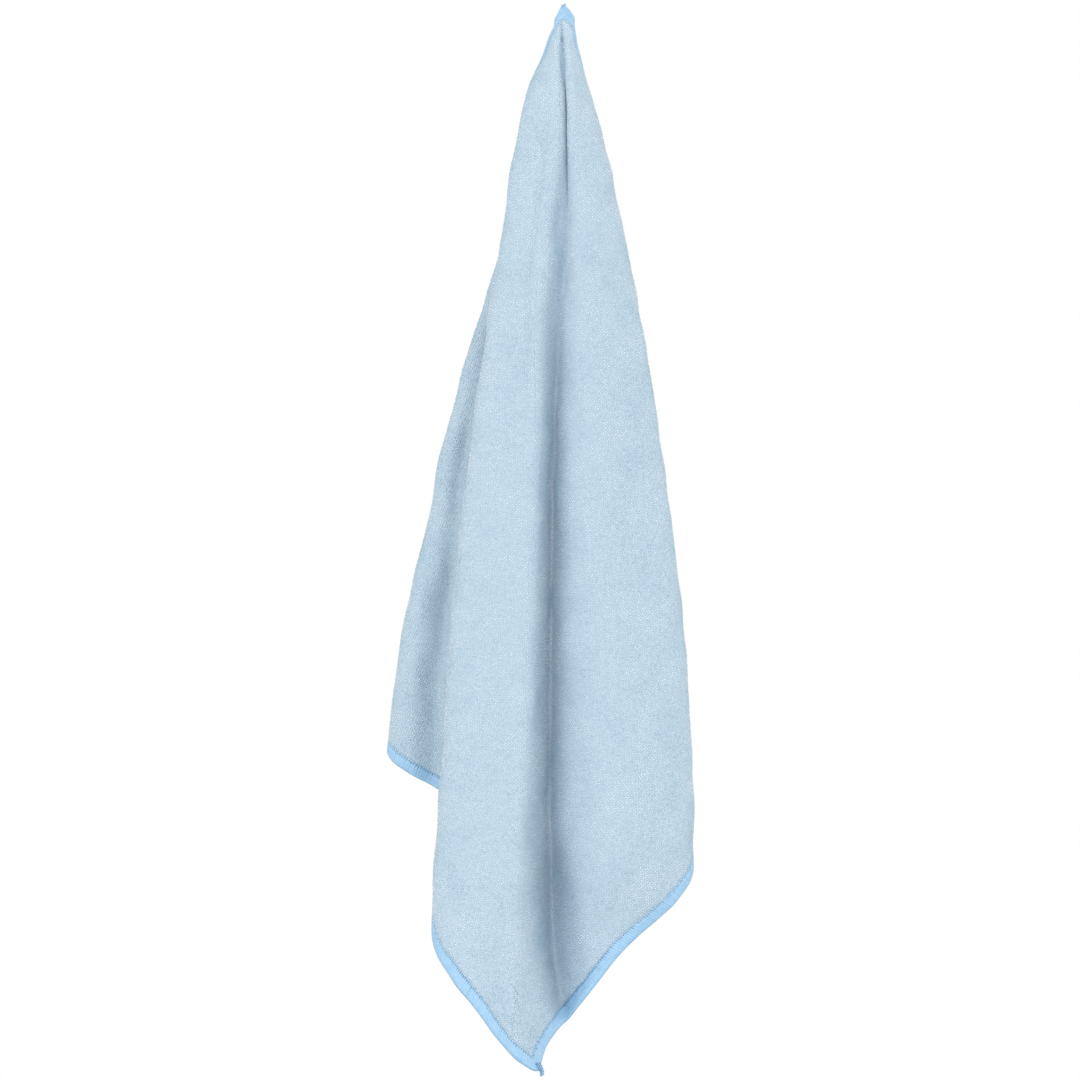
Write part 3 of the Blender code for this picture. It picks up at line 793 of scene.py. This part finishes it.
def needle_line(rng):
    """Both faces' needle stitches as one piece."""
    material, shader, _ = new_material("needle_thread", 0.6)
    shader.inputs["Base Color"].default_value = NEEDLE_BLUE
    points, places, faces = [], [], []
    for side in range(4):
        for face in (1, -1):
            middle = along_edge(rng, BEAD_SHIFT)
            wander = rng.uniform(-NEEDLE_WANDER, NEEDLE_WANDER, STITCHES)
            inside = NEEDLE_IN + BEAD_INSIDE + wander
            keep = (middle > NEEDLE_IN) & (middle < SIDE - NEEDLE_IN)
            middle, inside = middle[keep], inside[keep]
            first = sum(len(block) for block in points)
            for along_side, across, out in BEAD:
                s = middle + along_side * BEAD_LENGTH
                u, v = on_side(side, s, inside + across * BEAD_WIDTH)
                rise = BEAD_RISE * (BEAD_MIDDLE + BEAD_HALF * out)
                rise = half_knit(u, v) + rise * pressed(u, v)
                points.append(cloth_at(u, v, face * rise))
                places.append(np.stack([u, v], 1))
            order = first + np.arange(len(BEAD) * len(middle)).reshape(len(BEAD), -1).T
            corners = np.array(BEAD_TOP + BEAD_FOOT)[:, ::face]
            faces.append(order[:, corners].reshape(-1, 3))
    points, places = np.concatenate(points), np.concatenate(places)
    return add_piece("hem_needle_line", points, faces, places, material)


needle_line(rng)

# ---- The thread ends -----------------------------------------------------------------
# The threads run on past the lowest corner as a short twisted chain, which is cut off
# about 3 mm below it, and end in a small point at the hanging corner.
TAILS = (
    # name, corner, length of a turn, radius of the turns, radius of a thread,
    # and the line, as places to the right of the corner and down from it
    ("hem_thread_chain", SIDE, 3.4, 0.72, 0.62,
     ((0.4, -4.2), (1.1, -2.0), (1.9, -0.2), (2.1, 1.4), (1.3, 2.9))),
    ("hem_thread_point", 0.0, 2.6, 0.30, 0.34,
     ((0.2, 2.6), (0.7, 1.2), (0.9, 0.2), (1.0, -0.7))),
)  # fmt: skip
TAIL_STRANDS = 3
TAIL_CURVE = 3  # degree of the smooth curve that stands for the line
TAIL_RINGS = 41  # along a strand
TAIL_SIDES = 6  # of a strand
TAIL_END, TAIL_TAPER = 1.02, 5  # a strand thins out over the last fifth of its length
TAIL_SPREAD = 0.5  # of its own size, its place on the flat cloth, for the colour


def thread_tail(name, corner, turn_length, radius, thread, line, material):
    """Three strands twined round a line that starts by a corner of the cloth."""
    right, down = np.array(line).T
    knots = np.linspace(0, 1, len(line))
    t = np.linspace(0, 1, TAIL_RINGS)
    x = np.polyval(np.polyfit(knots, right, TAIL_CURVE), t)
    z = -np.polyval(np.polyfit(knots, down, TAIL_CURVE), t)
    start = cloth_at(np.array([corner]), np.array([corner]), np.zeros(1))
    middle = start + np.stack([x, 0 * x, z], 1)
    length = np.concatenate([[0], np.cumsum(np.hypot(np.diff(x), np.diff(z)))])
    ahead = np.gradient(middle, axis=0)
    ahead /= np.linalg.norm(ahead, axis=1, keepdims=True)
    back = np.array([0.0, 1.0, 0.0])
    side = np.cross(back, ahead)
    taper = np.sqrt(np.clip((TAIL_END - t) * TAIL_TAPER, 0, 1))[:, None]
    ring = np.linspace(0, 2 * np.pi, TAIL_SIDES + 1)[:-1]
    points, tubes, caps = [], [], []
    for strand in range(TAIL_STRANDS):
        turn = (2 * np.pi * (length / turn_length + strand / TAIL_STRANDS))[:, None]
        out = np.cos(turn) * side + np.sin(turn) * back
        around = np.cross(ahead, out)
        centre = middle + radius * taper * out
        first = sum(len(block) for block in points)
        for way in ring:
            points.append(centre + thread * taper * (np.cos(way) * out + np.sin(way) * around))
        order = first + np.arange(len(ring) * len(t)).reshape(len(ring), len(t)).T
        after = np.roll(order, -1, axis=1)
        quad = [order[:-1], after[:-1], after[1:], order[1:]]
        tubes.append(np.stack([place.ravel() for place in quad], 1))
        caps.append(np.stack([order[0, ::-1], order[-1]]))
    points = np.concatenate(points)
    flat = np.full((len(points), 2), corner) + points[:, [0, 2]] * TAIL_SPREAD
    return add_piece(name, points, tubes + caps, flat, material)


for tail in TAILS:
    thread_tail(*tail, hem_look)

# ---- The floor, the light and the camera ---------------------------------------------
# A pale floor under the cloth, a white room that lights it softly from all round, and three
# large soft lamps: at the left in front, straight in front, and at the right. Here lengths
# are in metres, apart from the camera's.
FLOOR_Z = -0.66
FLOOR_RADIUS = 0.9
bpy.ops.object.select_all(action="DESELECT")
bpy.ops.mesh.primitive_circle_add(
    vertices=96, radius=FLOOR_RADIUS, fill_type="NGON", location=(0, 0, FLOOR_Z)
)
floor = bpy.context.object
floor.name = "floor"
floor_material, floor_shader, _ = new_material("pale_floor", 0.9)
floor_shader.inputs["Base Color"].default_value = (0.85, 0.85, 0.84, 1.0)
floor.data.materials.append(floor_material)

world = bpy.context.scene.world or bpy.data.worlds.new("studio")
bpy.context.scene.world = world
world.use_nodes = True
room = world.node_tree.nodes["Background"]
room.inputs["Color"].default_value = (1.0, 0.97, 0.92, 1.0)
room.inputs["Strength"].default_value = 0.82
# the camera sees plain white behind the cloth
tree = world.node_tree
backdrop = tree.nodes.new("ShaderNodeBackground")
backdrop.inputs["Color"].default_value = (1.0, 1.0, 1.0, 1.0)
seen = tree.nodes.new("ShaderNodeLightPath")
either = tree.nodes.new("ShaderNodeMixShader")
tree.links.new(seen.outputs["Is Camera Ray"], either.inputs["Fac"])
tree.links.new(room.outputs["Background"], either.inputs[1])
tree.links.new(backdrop.outputs["Background"], either.inputs[2])
tree.links.new(either.outputs["Shader"], tree.nodes["World Output"].inputs["Surface"])
bpy.context.scene.view_settings.view_transform = "Standard"

LAMPS = (
    # name          x     y     z    power
    ("left_box",  -2.5, -1.9,  0.5,  45.0),
    ("front_box",  0.0, -3.1,  0.3,  54.0),
    ("right_box",  3.1, -0.4,  0.3,  45.0),
)  # fmt: skip
LAMP_SIZE = 2.4
LAMP_COLOUR = (1.0, 0.80, 0.78)
LIT_MIDDLE = Vector((0.0, 0.0, -0.28))
for name, x, y, z, power in LAMPS:
    bpy.ops.object.light_add(type="AREA", location=(x, y, z))
    lamp = bpy.context.object
    lamp.name = name
    lamp.data.size = LAMP_SIZE
    lamp.data.energy = power
    lamp.data.color = LAMP_COLOUR
    lamp.rotation_euler = (LIT_MIDDLE - lamp.location).to_track_quat("-Z", "Y").to_euler()

# The camera stands 4 m in front of the cloth, level with its middle, with a long lens.
CAMERA_AWAY = 4000.0
CAMERA_X = -13.2
CAMERA_Z = -282.2
FRAME_WIDTH = 568.6  # of the picture, at the hanging corner
SENSOR_WIDTH = 36.0
bpy.ops.object.camera_add(
    location=(CAMERA_X / 1000, -CAMERA_AWAY / 1000, CAMERA_Z / 1000),
    rotation=(np.pi / 2, 0, 0),
)
camera = bpy.context.object
camera.data.sensor_width = SENSOR_WIDTH
camera.data.lens = SENSOR_WIDTH * CAMERA_AWAY / FRAME_WIDTH
bpy.context.scene.camera = camera
